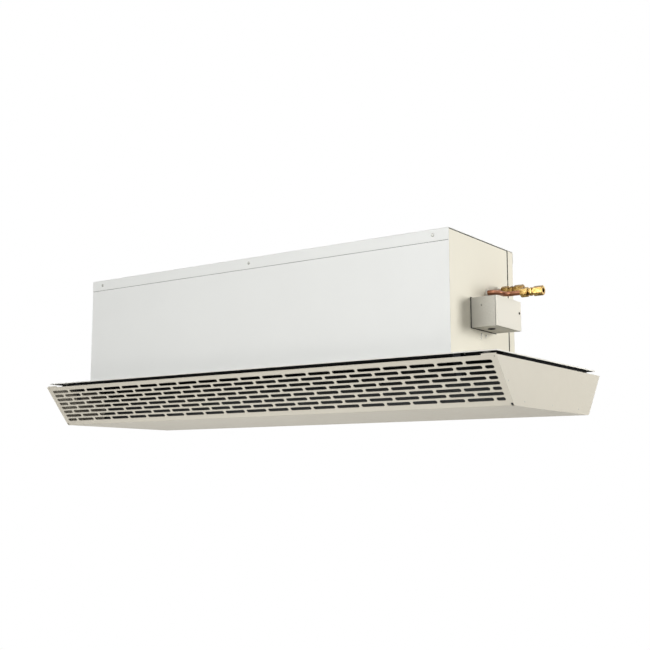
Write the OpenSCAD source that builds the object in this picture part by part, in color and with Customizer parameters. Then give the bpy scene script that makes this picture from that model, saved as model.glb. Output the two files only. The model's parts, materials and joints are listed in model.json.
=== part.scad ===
// Ceiling fan coil unit: a sheet-metal casing above the ceiling, a pan against the ceiling,
// and a folded, slotted grille tray that hangs under the pan on hinges.
// X runs along the unit towards its pipes, Y from front to rear, Z up.
// The origin is the centre of the pan on the face that meets the ceiling.

/* [Casing] */
// Length of the casing above the ceiling
casing_l = 1000; // [900:10:1100]
// Depth of the casing from front to rear
casing_d = 288; // [282:1:300]
// Height of the casing above the ceiling
casing_h = 250; // [240:5:300]
// Distance from the pan's front edge back to the casing's front
casing_setback = 30; // [24:1:36]
// Thickness of the casing, pan and tray sheet
sheet_t = 1.2; // [0.8:0.1:1.5]
// Inside radius of the bends in the casing sheets
sheet_bend = 1; // [0.5:0.5:2]
// Height of the top cover's lips
lip_h = 25; // [18:1:35]
// Width of the rear panel's returns round the ends
return_w = 26; // [25:1:45]
// Width of the open seam between an end wall and the rear panel's return
seam_w = 3; // [2:0.5:5]
// Height of the slit between the top cover and the end walls
cover_slit = 2; // [1:0.5:4]
// Width of the flanges that stand on the pan
flange_w = 18; // [14:1:20]
// Distance of the outer cover screws from the casing's ends
screw_inset = 35; // [25:1:60]

/* [Pan] */
// How much shorter the ceiling pan is than the tray
pan_less_l = 4; // [2:1:12]
// How much less deep the ceiling pan is than the tray
pan_less_d = 30; // [26:2:40]
// Height of the pan's turned-down rim
rim_h = 2.4; // [2.4:0.2:5]
// Thickness of the foam lining under the pan
lining_t = 1; // [0.5:0.1:1]
// Depth of the intake opening, front to rear
intake_d = 92; // [84:1:94]
// Length of the intake and outlet openings
opening_l = 860; // [760:10:860]
// Radius of the holes for the fixing screws in the ceiling pan
fixing_r = 2.75; // [2.25:0.25:3.5]
// Distance of the fixing holes from the pan's long edges
fixing_inset_y = 22; // [15:1:24]
// Distance of the fixing holes from the pan's short edges
fixing_inset_x = 32; // [20:1:40]

/* [Grille tray] */
// Length of the tray over its end plates
tray_l = 1228; // [1208:2:1248]
// Depth of the tray at its top edges
tray_d = 510; // [500:2:530]
// Height of the tray
tray_h = 90; // [84:1:110]
// How far each sloping face leans in from top to bottom
tray_inset = 72; // [60:1:80]
// Shadow gap between the ceiling and the tray's top edge
shadow_gap = 10; // [9:0.5:14]
// How far the tray sits behind the pan's centre
tray_offset = 7.5; // [5:0.5:9]
// Outside radius of the tray's front bottom fold
tray_bend = 6; // [4:0.5:8]
// Outside radius of the tray's rear bottom fold
tray_rear_bend = 13; // [6:1:16]
// Width of the stiffening flange along the tray's top edges
hem_w = 9; // [6:1:12]
// Width of the flanges that the tray's end plates are riveted to
end_flange_w = 18; // [14:1:24]
// Length of the raised tabs at the ends of the top edges
tab_l = 32; // [20:1:40]
// Height of the raised tabs
tab_h = 2.5; // [1.5:0.5:4]

/* [Slots] */
// Length of a full slot
slot_l = 55; // [40:1:58]
// Height of a slot
slot_h = 8; // [5:0.5:8.5]
// Distance from one slot to the next along a row
slot_pitch = 60.4; // [60:0.2:66]
// Number of slot rows in each sloping face
slot_rows = 8; // [4:1:8]
// Distance from one row to the next
row_pitch = 12; // [10:0.5:12.5]
// Distance from the top edge to the middle of the first row
first_row = 15.2; // [14:0.2:18]
// How far every second row is shifted along
row_shift = 36.2; // [25:0.2:40]
// Narrowest plain margin between the slots and the tray's ends
slot_margin = 12; // [10:1:30]

/* [Heat exchanger] */
// Height of the coil's middle above the ceiling
coil_z = 152; // [150:1:156]
// Tilt of the coil, up towards the rear
coil_tilt = 11; // [8:0.5:12]
// Distance between tubes along a row
tube_pitch = 25.4; // [24:0.1:26]
// Distance between the two tube rows
row_gap = 22; // [20:0.5:23]
// Number of tubes in each row
tubes_per_row = 5; // [3:1:5]
// Outside radius of the copper tubes
tube_r = 5; // [4:0.5:5]
// Distance between the fins that are modelled
fin_pitch = 18; // [14:1:40]
// Thickness of a fin
fin_t = 0.4; // [0.3:0.1:0.8]

/* [Fan] */
// Height of the fan axis above the ceiling
fan_z = 78; // [76:1:80]
// Outside radius of the impellers
impeller_r = 30; // [26:1:31]
// Depth of the impeller blades
blade_d = 7; // [5:0.5:9]
// Number of blades round an impeller
blade_count = 24; // [16:1:30]
// Radius of the fan shaft
shaft_r = 4; // [3:0.5:5]
// Radial clearance of the shaft in its bearings
running_gap = 0.05; // [0.03:0.01:0.1]
// Radius of the motor
motor_r = 36; // [32:1:38]
// Half of the motor's length without its bosses
motor_half = 48; // [40:1:55]
// Gap between the impellers and the fan housing
scroll_gap = 4; // [3:0.5:4]

/* [Filter] */
// Thickness of the filter frame
filter_t = 9; // [6:0.5:12]
// Width of the filter frame's bars
filter_bar = 12; // [8:1:16]
// Side clearance of the filter in the intake opening
filter_gap = 1.5; // [1:0.25:3]

/* [Pipes] */
// Step of the front tail towards the rear, from the coil's first tube to the front pipe
front_tail_y = 9; // [9:3:12]
// Step of the front tail upwards, from the coil's first tube to the front pipe
front_tail_z = 12; // [12:4:16]
// Place of the rear pipe, measured from the pan's centre
rear_pipe_y = 3; // [0:1:8]
// Height of the rear pipe above the ceiling
rear_pipe_z = 152; // [150:0.5:156]
// Sideways bend of the front pipe outside the casing
front_pipe_bend = 36; // [34:1:38]
// Bend radius of the pipes at their centre line
pipe_bend_r = 14; // [12:1:16]
// Radius of the tight elbows in the front tail
elbow_r = 7; // [6.5:0.5:7]
// Straight length of the front pipe outside the end wall, before its bend
pipe_clear = 8; // [6:1:10]
// Distance from the end wall to the rear coupling
rear_coupling_x = 9; // [8:1:20]
// Distance from the end wall to the front coupling
front_coupling_x = 59; // [56:1:70]
// Size of the coupling nuts across their flats
nut_af = 18; // [17:0.5:20]
// Size of the hexagon on the coupling body across its flats
body_af = 16; // [15.5:0.5:18]
// Length of the inner nuts
inner_nut_l = 16; // [14:1:18]
// Length of the outer nuts
outer_nut_l = 20; // [17:1:22]
// Length of the coupling body's hexagon
body_hex_l = 9; // [6:1:12]
// Clearance between a pipe and the parts that it passes through
pipe_fit = 0.1; // [0.05:0.05:0.2]

/* [Terminal box] */
// Width of the terminal box, front to rear
box_w = 108; // [90:1:112]
// Height of the terminal box
box_h = 60; // [50:1:62]
// Depth of the terminal box out from the end wall
box_d = 58; // [45:1:65]
// Height of its underside above the ceiling
box_z = 62; // [55:1:66]
// Place of its front side, measured from the pan's centre
box_y = -123; // [-130:1:-110]
// Depth of the cover's edge
box_lip = 3.5; // [2:0.5:6]

/* [Hinges and catches] */
// Height of the hinge axis below the ceiling
hinge_drop = 22; // [21:0.5:24]
// Distance of the hinge axis from the inside of the tray's rear face
hinge_off = 5; // [4.5:0.25:6]
// Radius of the hinge pins
hinge_pin_r = 2; // [1.5:0.25:2]
// Radial clearance of the hinge arms on their pins
hinge_gap = 0.06; // [0.03:0.01:0.1]
// Distance of the hinges and catches from the tray's ends
hinge_inset = 90; // [70:5:120]
// Thickness of the hinge and catch plates
ear_t = 2; // [1.5:0.5:3]

/* [Hidden] */

// Smoothness of round faces
$fn = 48;
// Steps round one sheet bend
bend_steps = 5;
// How far a cutting shape runs past the sheet that it cuts
cut = 1;
hole_cut_l = 20;
screw_clearance = 0.3;

// Casing planes
pan_l = tray_l - pan_less_l;
pan_d = tray_d - pan_less_d;
casing_y0 = -pan_d / 2 + casing_setback;
casing_y1 = casing_y0 + casing_d;
front_out = casing_y0 + sheet_t;
front_in = front_out + sheet_t;
rear_out = casing_y1 - sheet_t;
rear_in = rear_out - sheet_t;
end_in = casing_l / 2 - sheet_t;
cover_in = casing_h - sheet_t;
seam_y = casing_y1 - return_w - seam_w;
// Thin seam between the front panel and an end wall
corner_seam = 0.5;
// Depth of the inward returns of the panels
inner_return = 15;
// Width of the leg by which a corner angle is welded to the front panel
corner_angle_w = 12;
// Top of the front and rear panels, just under the bends of the top cover
panel_top = cover_in - sheet_bend - 0.1;
bulkhead_flange = 14;
bulkhead_gap = 0.4;

// Inside layout
service_w = 65;
bulkhead_x = casing_l / 2 - service_w;
bulkhead_in = bulkhead_x - sheet_t;
intake_chamber = 123.6;
partition_y = front_in + intake_chamber;
fan_front = partition_y + sheet_t;
fan_y = (fan_front + rear_in) / 2;
seat = 0.3;

// Openings in the pan
intake_y0 = front_out + flange_w + 3;
intake_y1 = intake_y0 + intake_d;
outlet_y0 = fan_y - 24;
outlet_y1 = fan_y + 62;

// Coil layout in its own plane: along the rows and across them
fin_w = (tubes_per_row + 0.5) * tube_pitch;
fin_h = 2 * row_gap;
fin_l = 2 * (bulkhead_in - 2);
function coil_place(s, n) = [fan_y + s * cos(coil_tilt) - n * sin(coil_tilt),
    coil_z + s * sin(coil_tilt) + n * cos(coil_tilt)];
function lower_tube(k) = coil_place((k - (tubes_per_row - 1) / 2 - 0.25) * tube_pitch, -row_gap / 2);
function upper_tube(k) = coil_place((k - (tubes_per_row - 1) / 2 + 0.25) * tube_pitch, row_gap / 2);
coil_end_x = bulkhead_x + 4;
first_tube = lower_tube(0);
last_tube = upper_tube(tubes_per_row - 1);
front_pipe_y = first_tube[0] + front_tail_y;
front_pipe_z = first_tube[1] + front_tail_z;
front_coupling_y = front_pipe_y + front_pipe_bend;

// Fan layout along the shaft
bracket_half = motor_half + 8;
impeller_x0 = bracket_half + 8;
impeller_x1 = bulkhead_in - 6;
disc_t = 2;
bearing_r = 11;
rubber_r = 15;
boss_r = 12;
mount_r = 17;

// Tray outline in its own section: front top, front bottom, rear bottom, rear top
tray_top = -shadow_gap;
tray_bottom = -shadow_gap - tray_h;
tray_y0 = tray_offset - tray_d / 2;
tray_y1 = tray_offset + tray_d / 2;
tray_path = [[tray_y0 + hem_w, tray_top], [tray_y0, tray_top], [tray_y0 + tray_inset, tray_bottom],
    [tray_y1 - tray_inset, tray_bottom], [tray_y1, tray_top], [tray_y1 - hem_w, tray_top]];
slope = atan2(tray_h, tray_inset);
slant = norm([tray_h, tray_inset]);
shell_half = tray_l / 2 - sheet_t;
tray_radii = [sheet_bend / 2, tray_bend - sheet_t, tray_rear_bend - sheet_t, sheet_bend / 2];
tab_set = 2.4;
notch_w = 5;
notch_l = 12;
relief_in = 5;
relief_r = 1.2;
slot_count = floor((tray_l - 2 * slot_margin - slot_l) / slot_pitch) + 1;
slot_field = (slot_count - 1) * slot_pitch + slot_l;

// Hinge axis: below the pan, just inside the rear sloping face
hinge_z = -hinge_drop;
hinge_y = tray_y1 - (hinge_drop - shadow_gap) * tray_inset / tray_h - (hinge_off + sheet_t) / sin(slope);
hinge_x = tray_l / 2 - hinge_inset;
catch_y = tray_y0 + 24;
ear_space = 0.5;
knuckle_r = 4;

// Pipes
wall_x = casing_l / 2;
tail_end_x = wall_x - 12;
coupling_l = inner_nut_l + 3.5 + body_hex_l + outer_nut_l;
barrel_r = 6.6;
socket_depth = 13;
socket_fit = 0.05;
nut_fit = 0.15;
nut_wall = 2;

// Sheet folding: a path in a section plane becomes a strip of constant thickness with round bends.
// The strip lies on the left of the path.
function dir(a, b) = (b - a) / norm(b - a);
function left(v) = [-v[1], v[0]];
function turn_of(u, v) = atan2(u[0] * v[1] - u[1] * v[0], u * v);
function bend_pts(a, b, c, t, r, off) =
    let (n1 = left(dir(a, b)), n2 = left(dir(b, c)), turn = turn_of(dir(a, b), dir(b, c)))
    let (s = turn > 0 ? 1 : -1, reach = turn > 0 ? t + r : r)
    let (centre = b + s * reach * (n1 + n2) / (1 + n1 * n2), radius = turn > 0 ? reach - off : r + off)
    let (start = atan2(n1[1], n1[0]))
    [for (k = [0:bend_steps])
        centre - s * radius * [cos(start + turn * k / bend_steps), sin(start + turn * k / bend_steps)]];
function side_pts(p, t, r, off) =
    let (last = len(p) - 1)
    concat([p[0] + off * left(dir(p[0], p[1]))],
        [for (i = [1:last - 1]) each bend_pts(p[i - 1], p[i], p[i + 1], t, is_list(r) ? r[i - 1] : r, off)],
        [p[last] + off * left(dir(p[last - 1], p[last]))]);
function reversed(p) = [for (i = [len(p) - 1:-1:0]) p[i]];
function folded(p, t, r) = concat(side_pts(p, t, r, 0), reversed(side_pts(p, t, r, t)));

// Extrudes a section in Y and Z along X
module along_x(x0, x1) {
    translate([x0, 0, 0])
        rotate([90, 0, 90])
            linear_extrude(x1 - x0) children();
}

// Block between two corners
module block(a, b) {
    translate(a) cube(b - a);
}

// Cylinder along X
module rod_x(x0, x1, r) {
    translate([x0, 0, 0])
        rotate([0, 90, 0])
            cylinder(h = x1 - x0, r = r);
}

// Ring along X
module ring_x(x0, x1, r_out, r_in) {
    difference() {
        rod_x(x0, x1, r_out);
        rod_x(x0 - cut, x1 + cut, r_in);
    }
}

// Places a shape that is made round the X axis at a point of the section plane
module at_yz(p) {
    translate([0, p[0], p[1]]) children();
}

// Pan-head screw whose head stands on the plane z = 0 and points up
module pan_head(head_r, head_h, shank_r, shank_l) {
    difference() {
        rotate_extrude()
            polygon([[0, 0], [head_r, 0], [head_r, head_h * 0.4], [head_r * 0.6, head_h], [0, head_h]]);
        for (a = [0, 90])
            rotate([0, 0, a])
                translate([-head_r * 0.6, -0.35, head_h * 0.45]) cube([head_r * 1.2, 0.7, head_h]);
    }
    translate([0, 0, -shank_l]) cylinder(h = shank_l, r = shank_r);
}

// Casing

module top_cover() {
    color("whitesmoke")
        difference() {
            along_x(-casing_l / 2, casing_l / 2)
                polygon(folded([[casing_y1, casing_h - lip_h], [casing_y1, casing_h],
                    [casing_y0, casing_h], [casing_y0, casing_h - lip_h]], sheet_t, sheet_bend));
            screw_places() cylinder(h = hole_cut_l, r = cover_screw_r + screw_clearance, center = true);
        }
}

cover_screw_r = 1.6;
cover_screw_z = casing_h - lip_h / 2;

// The six places of the cover screws, with +Z pointing out of the casing
module screw_places() {
    for (x = [-casing_l / 2 + screw_inset, 0, casing_l / 2 - screw_inset]) {
        translate([x, casing_y0, cover_screw_z]) rotate([90, 0, 0]) children();
        translate([x, casing_y1, cover_screw_z]) rotate([-90, 0, 0]) children();
    }
}

module cover_screws() {
    color("silver") screw_places() pan_head(3.5, 2, cover_screw_r, 8);
}

module front_panel() {
    color("whitesmoke")
        difference() {
            along_x(-casing_l / 2, casing_l / 2)
                polygon(folded([[front_out, panel_top], [front_out, 0], [front_out + flange_w, 0]],
                    sheet_t, sheet_bend));
            screw_places() cylinder(h = hole_cut_l, r = cover_screw_r + screw_clearance, center = true);
            pan_screw_places() cylinder(h = hole_cut_l, r = pan_screw_r + screw_clearance, center = true);
            for (side = [0, 1])
                mirror([side, 0, 0])
                    block([end_in - cut, front_in + corner_seam - 0.1, -cut],
                        [casing_l / 2 + cut, front_out + flange_w + cut, sheet_t + cut]);
        }
}

// Angles spot-welded inside the ends of the front panel, which the end walls lie against
module front_corner_angles() {
    foot_z = sheet_t + sheet_bend;
    color("lightgray")
        for (side = [0, 1])
            mirror([side, 0, 0])
                translate([0, 0, foot_z])
                    linear_extrude(cover_in - cover_slit - foot_z)
                        polygon(folded([[end_in - corner_angle_w, front_in], [end_in, front_in],
                            [end_in, front_out + inner_return]], sheet_t, sheet_bend));
}

module rear_panel() {
    color("whitesmoke")
        difference() {
            union() {
                linear_extrude(panel_top)
                    polygon(folded([[casing_l / 2, casing_y1 - return_w], [casing_l / 2, rear_out],
                        [-casing_l / 2, rear_out], [-casing_l / 2, casing_y1 - return_w]],
                        sheet_t, sheet_bend));
                block([-end_in + inner_return, rear_out - flange_w, 0],
                    [end_in - inner_return, rear_in + sheet_t / 2, sheet_t]);
            }
            screw_places() cylinder(h = hole_cut_l, r = cover_screw_r + screw_clearance, center = true);
            pan_screw_places() cylinder(h = hole_cut_l, r = pan_screw_r + screw_clearance, center = true);
        }
}

module end_wall() {
    linear_extrude(cover_in - cover_slit)
        polygon(folded([[casing_l / 2, front_in + corner_seam], [casing_l / 2, seam_y],
            [casing_l / 2 - inner_return, seam_y]], sheet_t, sheet_bend));
}

module left_end_wall() {
    color("antiquewhite") mirror([1, 0, 0]) end_wall();
}

grommet_r = 8;
rivet_places = [[-78, 53], [-58, 52], [-80.4, 45.5]];
rivet_r = 1.5;
rivet_head_r = 2.8;
rivet_top_r = 1.8;
cable_hole_r = 9;
cable_hole_place = [box_y + box_w * 0.3, box_z + box_h * 0.6];

module right_end_wall() {
    color("antiquewhite")
        difference() {
            end_wall();
            for (p = [[front_pipe_y, front_pipe_z], [rear_pipe_y, rear_pipe_z]])
                at_yz(p) rod_x(end_in - cut, wall_x + cut, grommet_r - 2);
            for (p = rivet_places)
                at_yz(p) rod_x(end_in - cut, wall_x + cut, rivet_r + 0.1);
            at_yz(cable_hole_place) rod_x(end_in - cut, wall_x + cut, cable_hole_r);
        }
}

module end_wall_rivets() {
    color("silver")
        for (p = rivet_places)
            at_yz(p) {
                rod_x(end_in - 1, wall_x, rivet_r);
                translate([wall_x, 0, 0])
                    rotate([0, 90, 0])
                        cylinder(h = 1, r1 = rivet_head_r, r2 = rivet_top_r);
            }
}

// Ceiling pan

module ceiling_pan() {
    color("white")
        difference() {
            union() {
                along_x(-pan_l / 2, pan_l / 2)
                    polygon(folded([[pan_d / 2, -rim_h], [pan_d / 2, 0],
                        [-pan_d / 2, 0], [-pan_d / 2, -rim_h]], sheet_t, sheet_bend));
                for (side = [0, 1])
                    mirror([side, 0, 0])
                        block([pan_l / 2 - sheet_t, -pan_d / 2 + sheet_t, -rim_h],
                            [pan_l / 2, pan_d / 2 - sheet_t, -sheet_t]);
            }
            pan_openings(0);
            fixing_places() cylinder(h = hole_cut_l, r = fixing_r, center = true);
            pan_screw_places() cylinder(h = hole_cut_l, r = pan_screw_r + screw_clearance, center = true);
        }
}

// Cutters for the intake and the outlet, larger by a margin
module pan_openings(margin) {
    half = opening_l / 2 + margin;
    block([-half, intake_y0 - margin, -hole_cut_l], [half, intake_y1 + margin, hole_cut_l]);
    block([-half, outlet_y0 - margin, -hole_cut_l], [half, outlet_y1 + margin, hole_cut_l]);
}

// The four corner holes that fix the pan to the ceiling joists
module fixing_places() {
    for (x = [-1, 1], y = [-1, 1])
        translate([x * (pan_l / 2 - fixing_inset_x), y * (pan_d / 2 - fixing_inset_y), 0]) children();
}

pan_screw_r = 1.6;
pan_screw_x = opening_l / 2 + 25;

// Screws between the pan and the casing's bottom flanges
module pan_screw_places() {
    for (x = [-1, 1])
        for (y = [front_out + flange_w / 2, rear_out - flange_w / 2])
            translate([x * pan_screw_x, y, -sheet_t]) children();
}

module pan_screws() {
    color("silver") pan_screw_places() rotate([180, 0, 0]) pan_head(3.2, 1.8, pan_screw_r, 5);
}

module pan_lining() {
    color([0.08, 0.08, 0.08])
        difference() {
            block([-pan_l / 2 + sheet_t + 2, -pan_d / 2 + sheet_t + 2, -sheet_t - lining_t],
                [pan_l / 2 - sheet_t - 2, pan_d / 2 - sheet_t - 2, -sheet_t]);
            pan_openings(4);
            fixing_places() cylinder(h = 20, r = 9, center = true);
            pan_screw_places() cylinder(h = 20, r = 6, center = true);
            for (x = [-1, 1])
                for (y = [hinge_foot_y, catch_y])
                    translate([x * hinge_x, y, 0]) cube([26, 28, 20], center = true);
            block([-pan_l / 2, divider_y - 1, -20], [pan_l / 2, divider_y + divider_flange + 1, 20]);
        }
}

// Bulkheads and partition

// Plate with turned-out flanges at the bottom and the top, cut out over the casing's bottom flanges
module bulkhead() {
    difference() {
        translate([0, rear_in - bulkhead_gap, 0])
            rotate([90, 0, 0])
                linear_extrude(rear_in - front_in - 2 * bulkhead_gap)
                    polygon(folded([[bulkhead_in + bulkhead_flange, cover_in], [bulkhead_in, cover_in],
                        [bulkhead_in, 0], [bulkhead_in + bulkhead_flange, 0]], sheet_t, sheet_bend));
        block([bulkhead_in - cut, front_out, -cut],
            [bulkhead_in + bulkhead_flange + cut, front_out + flange_w + seat, sheet_t + seat]);
        block([bulkhead_in - cut, rear_out - flange_w - seat, -cut],
            [bulkhead_in + bulkhead_flange + cut, rear_out, sheet_t + seat]);
        for (k = [0:tubes_per_row - 1])
            for (p = [lower_tube(k), upper_tube(k)])
                at_yz(p) rod_x(bulkhead_in - cut, bulkhead_x + cut, tube_r + pipe_fit);
        at_yz([fan_y, fan_z]) rod_x(bulkhead_in - cut, bulkhead_x + cut, rubber_r + pipe_fit);
    }
}

module left_bulkhead() {
    color("lightgray") mirror([1, 0, 0]) bulkhead();
}

module right_bulkhead() {
    color("lightgray") bulkhead();
}

module partition_plate() {
    color("lightgray")
        along_x(-bulkhead_in, bulkhead_in)
            polygon(folded([[partition_y, coil_z], [partition_y, sheet_t], [partition_y - 10, sheet_t]],
                sheet_t, sheet_bend));
}

// Divider under the pan

divider_y = (intake_y1 + outlet_y0) / 2;
divider_end = 8;
divider_flange = 10;
seal_h = 9;
seal_w = 5;

module plenum_divider() {
    color([0.12, 0.12, 0.12])
        along_x(-tray_l / 2 + divider_end, tray_l / 2 - divider_end)
            polygon(folded([[divider_y + divider_flange, -sheet_t], [divider_y, -sheet_t],
                [divider_y, tray_bottom + seal_h]], sheet_t, sheet_bend));
}

// Foam strip between the divider's lower edge and the tray
module divider_seal() {
    color([0.05, 0.05, 0.05])
        block([-tray_l / 2 + divider_end, divider_y + sheet_t / 2 - seal_w / 2, tray_bottom + sheet_t + seat],
            [tray_l / 2 - divider_end, divider_y + sheet_t / 2 + seal_w / 2, tray_bottom + seal_h]);
}

// Heat exchanger

module fin_pack() {
    collar_r = tube_r + 0.6;
    fins = floor(fin_l / fin_pitch);
    pitch = fin_l / fins;
    color("silver")
        difference() {
            union() {
                for (i = [0:fins]) {
                    fin_x = -fin_l / 2 + i * (fin_l - fin_t) / fins;
                    along_x(fin_x, fin_x + fin_t)
                        translate(coil_place(0, 0))
                            rotate(coil_tilt) square([fin_w, fin_h], center = true);
                }
                for (k = [0:tubes_per_row - 1])
                    for (p = [lower_tube(k), upper_tube(k)])
                        at_yz(p) rod_x(-fin_l / 2, fin_l / 2, collar_r);
            }
            for (k = [0:tubes_per_row - 1])
                for (p = [lower_tube(k), upper_tube(k)])
                    at_yz(p) rod_x(-fin_l / 2 - cut, fin_l / 2 + cut, tube_r + pipe_fit);
        }
}

// Half-round return bend between two tubes, standing out along X from x0
module return_bend(a, b, x0) {
    mid = (a + b) / 2;
    v = b - a;
    translate([x0, mid[0], mid[1]])
        rotate([atan2(v[1], v[0]), 0, 0])
            rotate([0, 0, -90])
                rotate_extrude(angle = 180)
                    translate([norm(v) / 2, 0]) circle(r = tube_r);
}

// Straight tubes through the fins
module coil_tubes() {
    color("peru")
        for (k = [0:tubes_per_row - 1]) {
            at_yz(lower_tube(k)) rod_x(-coil_end_x, coil_end_x, tube_r);
            at_yz(upper_tube(k)) rod_x(-coil_end_x, coil_end_x, tube_r);
        }
}

// Bends that are brazed on the tube ends: across the rows at the left, along them at the right
module return_bends() {
    color("peru") {
        for (k = [0:tubes_per_row - 1])
            mirror([1, 0, 0]) return_bend(lower_tube(k), upper_tube(k), coil_end_x);
        for (k = [0:tubes_per_row - 2])
            return_bend(upper_tube(k), lower_tube(k + 1), coil_end_x);
    }
}

// Pipe along X from x0 to x1 that steps sideways from a to b, its first bend starting at xs
module stepped_pipe(a, b, x0, xs, x1, r, bend_r, angle = 90) {
    v = b - a;
    d = norm(v);
    run = (d - 2 * bend_r * (1 - cos(angle))) / sin(angle);
    reach = 2 * bend_r * sin(angle) + run * cos(angle);
    translate([xs, a[0], a[1]])
        rotate([atan2(v[1], v[0]), 0, 0]) {
            rod_x(x0 - xs, 0, r);
            translate([0, bend_r, 0])
                rotate([0, 0, -90])
                    rotate_extrude(angle = angle)
                        translate([bend_r, 0]) circle(r = r);
            translate([bend_r * sin(angle), bend_r * (1 - cos(angle)), 0])
                rotate([0, 90, angle]) cylinder(h = run, r = r);
            translate([reach, d - bend_r, 0])
                rotate([0, 0, 90])
                    rotate_extrude(angle = angle)
                        translate([bend_r, 0]) circle(r = r);
            translate([0, d, 0]) rod_x(reach, x1 - xs, r);
        }
}

pipe_step_x = coil_end_x + 14;

// The pipe's two stretches meet inside the grommet
module front_tail() {
    color("peru")
        stepped_pipe(first_tube, [front_pipe_y, front_pipe_z], coil_end_x, pipe_step_x, tail_end_x,
            tube_r, elbow_r);
}

module front_pipe() {
    color("peru")
        stepped_pipe([front_pipe_y, front_pipe_z], [front_coupling_y, front_pipe_z], tail_end_x,
            wall_x + pipe_clear, wall_x + front_coupling_x + inner_nut_l, tube_r, pipe_bend_r);
}

module rear_pipe() {
    color("peru")
        stepped_pipe(last_tube, [rear_pipe_y, rear_pipe_z], coil_end_x, pipe_step_x,
            wall_x + rear_coupling_x + inner_nut_l, tube_r, pipe_bend_r);
}

module pipe_grommets() {
    color("lightgray")
        for (p = [[front_pipe_y, front_pipe_z], [rear_pipe_y, rear_pipe_z]])
            at_yz(p)
                rotate([0, 90, 0])
                    rotate_extrude()
                        polygon([[tube_r + pipe_fit, end_in - 1.5], [grommet_r - 0.5, end_in - 1.5],
                            [grommet_r - 0.5, end_in], [grommet_r - 2, end_in], [grommet_r - 2, wall_x],
                            [grommet_r, wall_x], [grommet_r, wall_x + 1.2], [grommet_r - 1.2, wall_x + 2.4],
                            [tube_r + pipe_fit, wall_x + 2.4]]);
}

// Compression couplings

// Places a shape made along X from 0 at both couplings
module coupling_places() {
    translate([wall_x + rear_coupling_x, rear_pipe_y, rear_pipe_z]) children();
    translate([wall_x + front_coupling_x, front_coupling_y, front_pipe_z]) children();
}

// Hexagon bar along X with chamfered corners
module hex_bar(x0, x1, af) {
    corner = af / sqrt(3);
    chamfer = (corner - af / 2) * 1.1;
    intersection() {
        translate([x0, 0, 0])
            rotate([0, 90, 0])
                cylinder(h = x1 - x0, r = corner, $fn = 6);
        rotate([0, 90, 0])
            rotate_extrude()
                polygon([[0, x0], [corner - chamfer, x0], [corner, x0 + chamfer * 0.6],
                    [corner, x1 - chamfer * 0.6], [corner - chamfer, x1], [0, x1]]);
    }
}

// Hollow nut: end wall with the pipe hole at x0, thread cavity up to x1
module nut(x0, x1, af) {
    low = min(x0, x1);
    high = max(x0, x1);
    wall = x0 < x1 ? x0 + nut_wall : x0 - nut_wall;
    difference() {
        hex_bar(low, high, af);
        rod_x(low - cut, high + cut, tube_r + nut_fit);
        if (x0 < x1) {
            rod_x(wall, high + cut, barrel_r + 0.1);
        } else {
            rod_x(low - cut, wall, barrel_r + 0.1);
        }
    }
}

module inner_nuts() {
    color("goldenrod") coupling_places() nut(0, inner_nut_l, nut_af);
}

module outer_nuts() {
    color("goldenrod") coupling_places() nut(coupling_l, coupling_l - outer_nut_l, nut_af);
}

body_x0 = 4;
body_x1 = coupling_l - 4;

module coupling_bodies() {
    hex_x = inner_nut_l + 3;
    color("darkgoldenrod")
        coupling_places()
            difference() {
                union() {
                    rod_x(body_x0, body_x1, barrel_r);
                    hex_bar(hex_x, hex_x + body_hex_l, body_af);
                }
                rod_x(body_x0 - cut, inner_nut_l + 0.1, tube_r + socket_fit);
                rod_x(body_x0 - cut, body_x1 + cut, tube_r - 1);
                rod_x(body_x1 - socket_depth, body_x1 + cut, tube_r + socket_fit);
            }
}

module olives() {
    color("gold")
        coupling_places() {
            ring_x(nut_wall, body_x0, barrel_r - 0.4, tube_r + nut_fit);
            ring_x(body_x1, coupling_l - nut_wall, barrel_r - 0.4, tube_r + nut_fit);
        }
}

// Air vent on the rear pipe, inside the casing

vent_x = coil_end_x + 7;

module air_vent_body() {
    color("goldenrod")
        translate([vent_x, last_tube[0], last_tube[1]])
            difference() {
                union() {
                    cylinder(h = tube_r + 12, r = 4.5);
                    translate([0, 0, tube_r + 4]) cylinder(h = 5, r = 6, $fn = 6);
                }
                rod_x(-10, 10, tube_r + 0.05);
                translate([0, 0, tube_r + 5]) cylinder(h = 12, r = 2 + running_gap);
            }
}

module vent_screw() {
    color("silver")
        translate([vent_x, last_tube[0], last_tube[1] + tube_r + 5 + seat])
            difference() {
                union() {
                    cylinder(h = 9, r = 2);
                    translate([0, 0, 7]) cylinder(h = 3, r = 3.2);
                }
                translate([-5, -0.5, 8.8]) cube([10, 1, 3]);
            }
}

// Fan housing

// Point on a circle round the fan axis
function fan_point(r, a) = [fan_y + r * cos(a), fan_z + r * sin(a)];
scroll_start = 125;
scroll_end = 215;
scroll_growth = 18;
scroll_steps = 16;
scroll_path = concat([[fan_front + 6, fan_z + impeller_r + scroll_gap + 2]],
    [for (k = [0:scroll_steps])
        fan_point(impeller_r + scroll_gap + scroll_growth * k / scroll_steps,
            scroll_start + (scroll_end - scroll_start) * k / scroll_steps)],
    [[outlet_y0 + 2, sheet_t + 14], [outlet_y0 - 1, 0], [outlet_y0 - 10, 0]]);

// Strip along a polyline without rounding, its thickness on the right of the path
function mitred(p, t) =
    let (last = len(p) - 1)
    concat(p, reversed([for (i = [0:last])
        let (n1 = left(i == 0 ? dir(p[0], p[1]) : dir(p[i - 1], p[i])))
        let (n2 = left(i == last ? dir(p[last - 1], p[last]) : dir(p[i], p[i + 1])))
        p[i] - t * (n1 + n2) / (1 + n1 * n2)]));

module fan_scrolls() {
    color("gainsboro")
        for (side = [0, 1])
            mirror([side, 0, 0])
                along_x(bracket_half + ear_t + 2, bulkhead_in)
                    polygon(mitred(scroll_path, sheet_t));
}

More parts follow.
